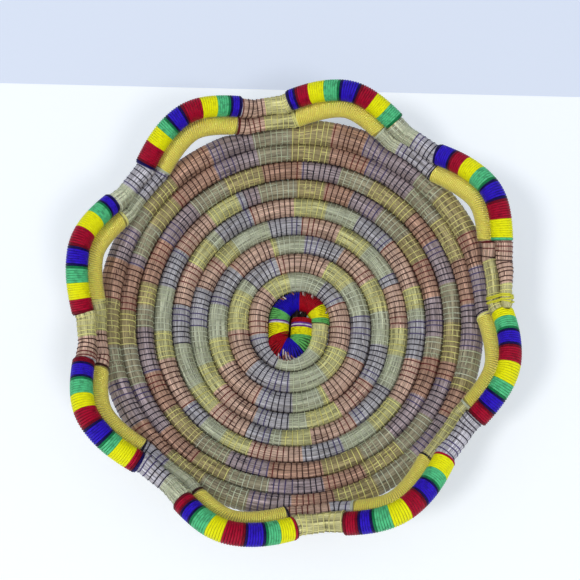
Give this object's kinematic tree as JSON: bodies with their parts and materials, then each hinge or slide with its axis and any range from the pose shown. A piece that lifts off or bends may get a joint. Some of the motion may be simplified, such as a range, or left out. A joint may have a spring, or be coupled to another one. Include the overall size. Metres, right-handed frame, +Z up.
{
  "type": "coiled pine needle basket",
  "caption": "Open coiled bowl of bundled pine needles, stitched row to row, with a whipped knot in the middle and a rim that lifts into thread-wound arches.",
  "frame": {"origin": "on the floor, under the middle of the basket's bounding box", "axes": "+Z up, out of the open bowl; +X towards the side where the outer row ends; seen from above the coil runs outwards clockwise"},
  "size_m": [0.2946, 0.304, 0.092],
  "materials": {
    "needles": "matt dried needles",
    "start_thread": "soft sheen thread",
    "gold_thread": "soft sheen thread",
    "banded_thread": "soft sheen thread",
    "end_thread": "soft sheen thread"
  },
  "bodies": {
    "root": {"needle_coil": "needles", "start_whipping": "start_thread", "gold_whipping_1": "gold_thread", "gold_whipping_2": "gold_thread", "gold_whipping_3": "gold_thread", "gold_whipping_4": "gold_thread", "gold_whipping_5": "gold_thread", "gold_whipping_6": "gold_thread", "gold_whipping_7": "gold_thread", "gold_whipping_8": "gold_thread", "band_whipping_1": "banded_thread", "band_whipping_2": "banded_thread", "band_whipping_3": "banded_thread", "band_whipping_4": "banded_thread", "band_whipping_5": "banded_thread", "band_whipping_6": "banded_thread", "band_whipping_7": "banded_thread", "band_whipping_8": "banded_thread", "end_tie": "end_thread"}
  },
  "joints": []
}
